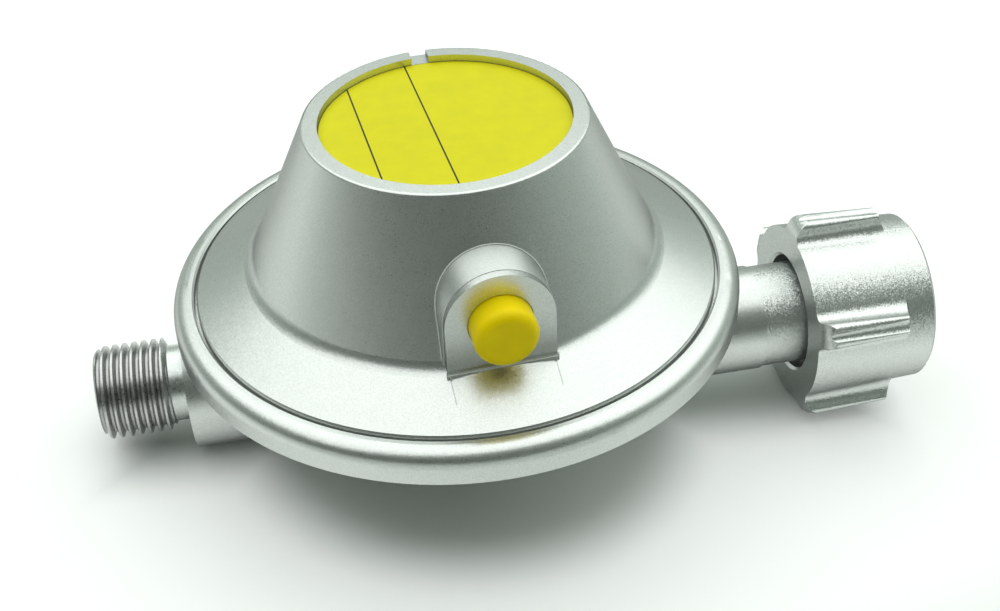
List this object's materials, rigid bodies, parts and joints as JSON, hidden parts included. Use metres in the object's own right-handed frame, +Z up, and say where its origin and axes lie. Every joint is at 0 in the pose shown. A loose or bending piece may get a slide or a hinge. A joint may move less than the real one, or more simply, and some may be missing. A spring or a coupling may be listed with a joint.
{
  "type": "low-pressure gas regulator",
  "caption": "Caravan gas regulator with a conical cover, round label, vent cap, threaded outlet and a lugged hand nut on the inlet.",
  "frame": {"origin": "centre of the flat foot under the housing, on the diaphragm axis", "axes": "+Z up along the diaphragm axis, out through the cover; +X along the fittings, towards the inlet nut; -Y towards the vent cap"},
  "size_m": [0.1195, 0.0786, 0.0556],
  "materials": {
    "painted_casting": "satin silver paint on die-cast zinc",
    "painted_nut": "satin silver paint on die-cast zinc",
    "painted_neck": "satin silver paint",
    "yellow_label": "satin film",
    "yellow_plastic": "smooth matte plastic",
    "bare_thread": "machined",
    "grey_plastic": "moulded",
    "spring_steel": "drawn wire",
    "black_rubber": "moulded",
    "zinc_plate": "zinc plated",
    "brass": "machined",
    "steel": "stamped",
    "sintered_bronze": "sintered"
  },
  "bodies": {
    "housing": {"housing_body": "painted_casting", "cover": "painted_casting", "inlet_nipple": "painted_neck", "label_disc": "yellow_label", "outlet_nipple": "bare_thread", "adjusting_screw": "grey_plastic", "main_spring": "spring_steel", "diaphragm": "black_rubber", "lever_pin": "steel", "pin_screws": "steel", "valve_nozzle": "brass", "nipple_oring": "black_rubber", "inlet_seal": "black_rubber", "inlet_filter": "sintered_bronze"},
    "spindle": {"relief_spindle": "brass", "relief_spring_nut": "brass", "relief_spring": "spring_steel"},
    "plate": {"diaphragm_plate": "zinc_plate"},
    "lever_arm": {"lever": "steel"},
    "plunger": {"valve_plunger": "brass", "valve_pad": "black_rubber"},
    "slip_ring": {"thrust_washer": "zinc_plate"},
    "nut": {"union_nut": "painted_nut"},
    "cap": {"vent_cap": "yellow_plastic"}
  },
  "joints": [
    {"name": "spindle_lift", "type": "slide", "parent": "housing", "child": "spindle", "axis": [0, 0, 1], "range_m": [0, 0.002], "stiffness_N_per_m": 600, "deforming": ["main_spring", "diaphragm"]},
    {"name": "plate_relief", "type": "slide", "parent": "spindle", "child": "plate", "axis": [0, 0, 1], "range_m": [0, 0.0015], "stiffness_N_per_m": 1500, "deforming": ["relief_spring"]},
    {"name": "lever_pivot", "type": "hinge", "parent": "housing", "child": "lever_arm", "pos_m": [-0.013, 0, 0.0154], "axis": [0, 1, 0], "range_deg": [-8.9, 0]},
    {"name": "plunger_slide", "type": "slide", "parent": "housing", "child": "plunger", "axis": [1, 0, 0], "range_m": [0, 0.00112]},
    {"name": "nut_slide", "type": "slide", "parent": "housing", "child": "slip_ring", "axis": [1, 0, 0], "range_m": [-0.0055, 0]},
    {"name": "nut_spin", "type": "hinge", "parent": "slip_ring", "child": "nut", "pos_m": [0.0587, 0, 0.0082], "axis": [1, 0, 0], "continuous": true},
    {"name": "vent_cap_play", "type": "slide", "parent": "housing", "child": "cap", "axis": [0.0523, -0.9986, 0], "range_m": [-0.0008, 0]}
  ],
  "couplings": [
    {"joint": "lever_pivot", "follows": "spindle_lift", "rad_per_m": -76.923},
    {"joint": "plunger_slide", "follows": "spindle_lift", "ratio": 0.55385}
  ]
}
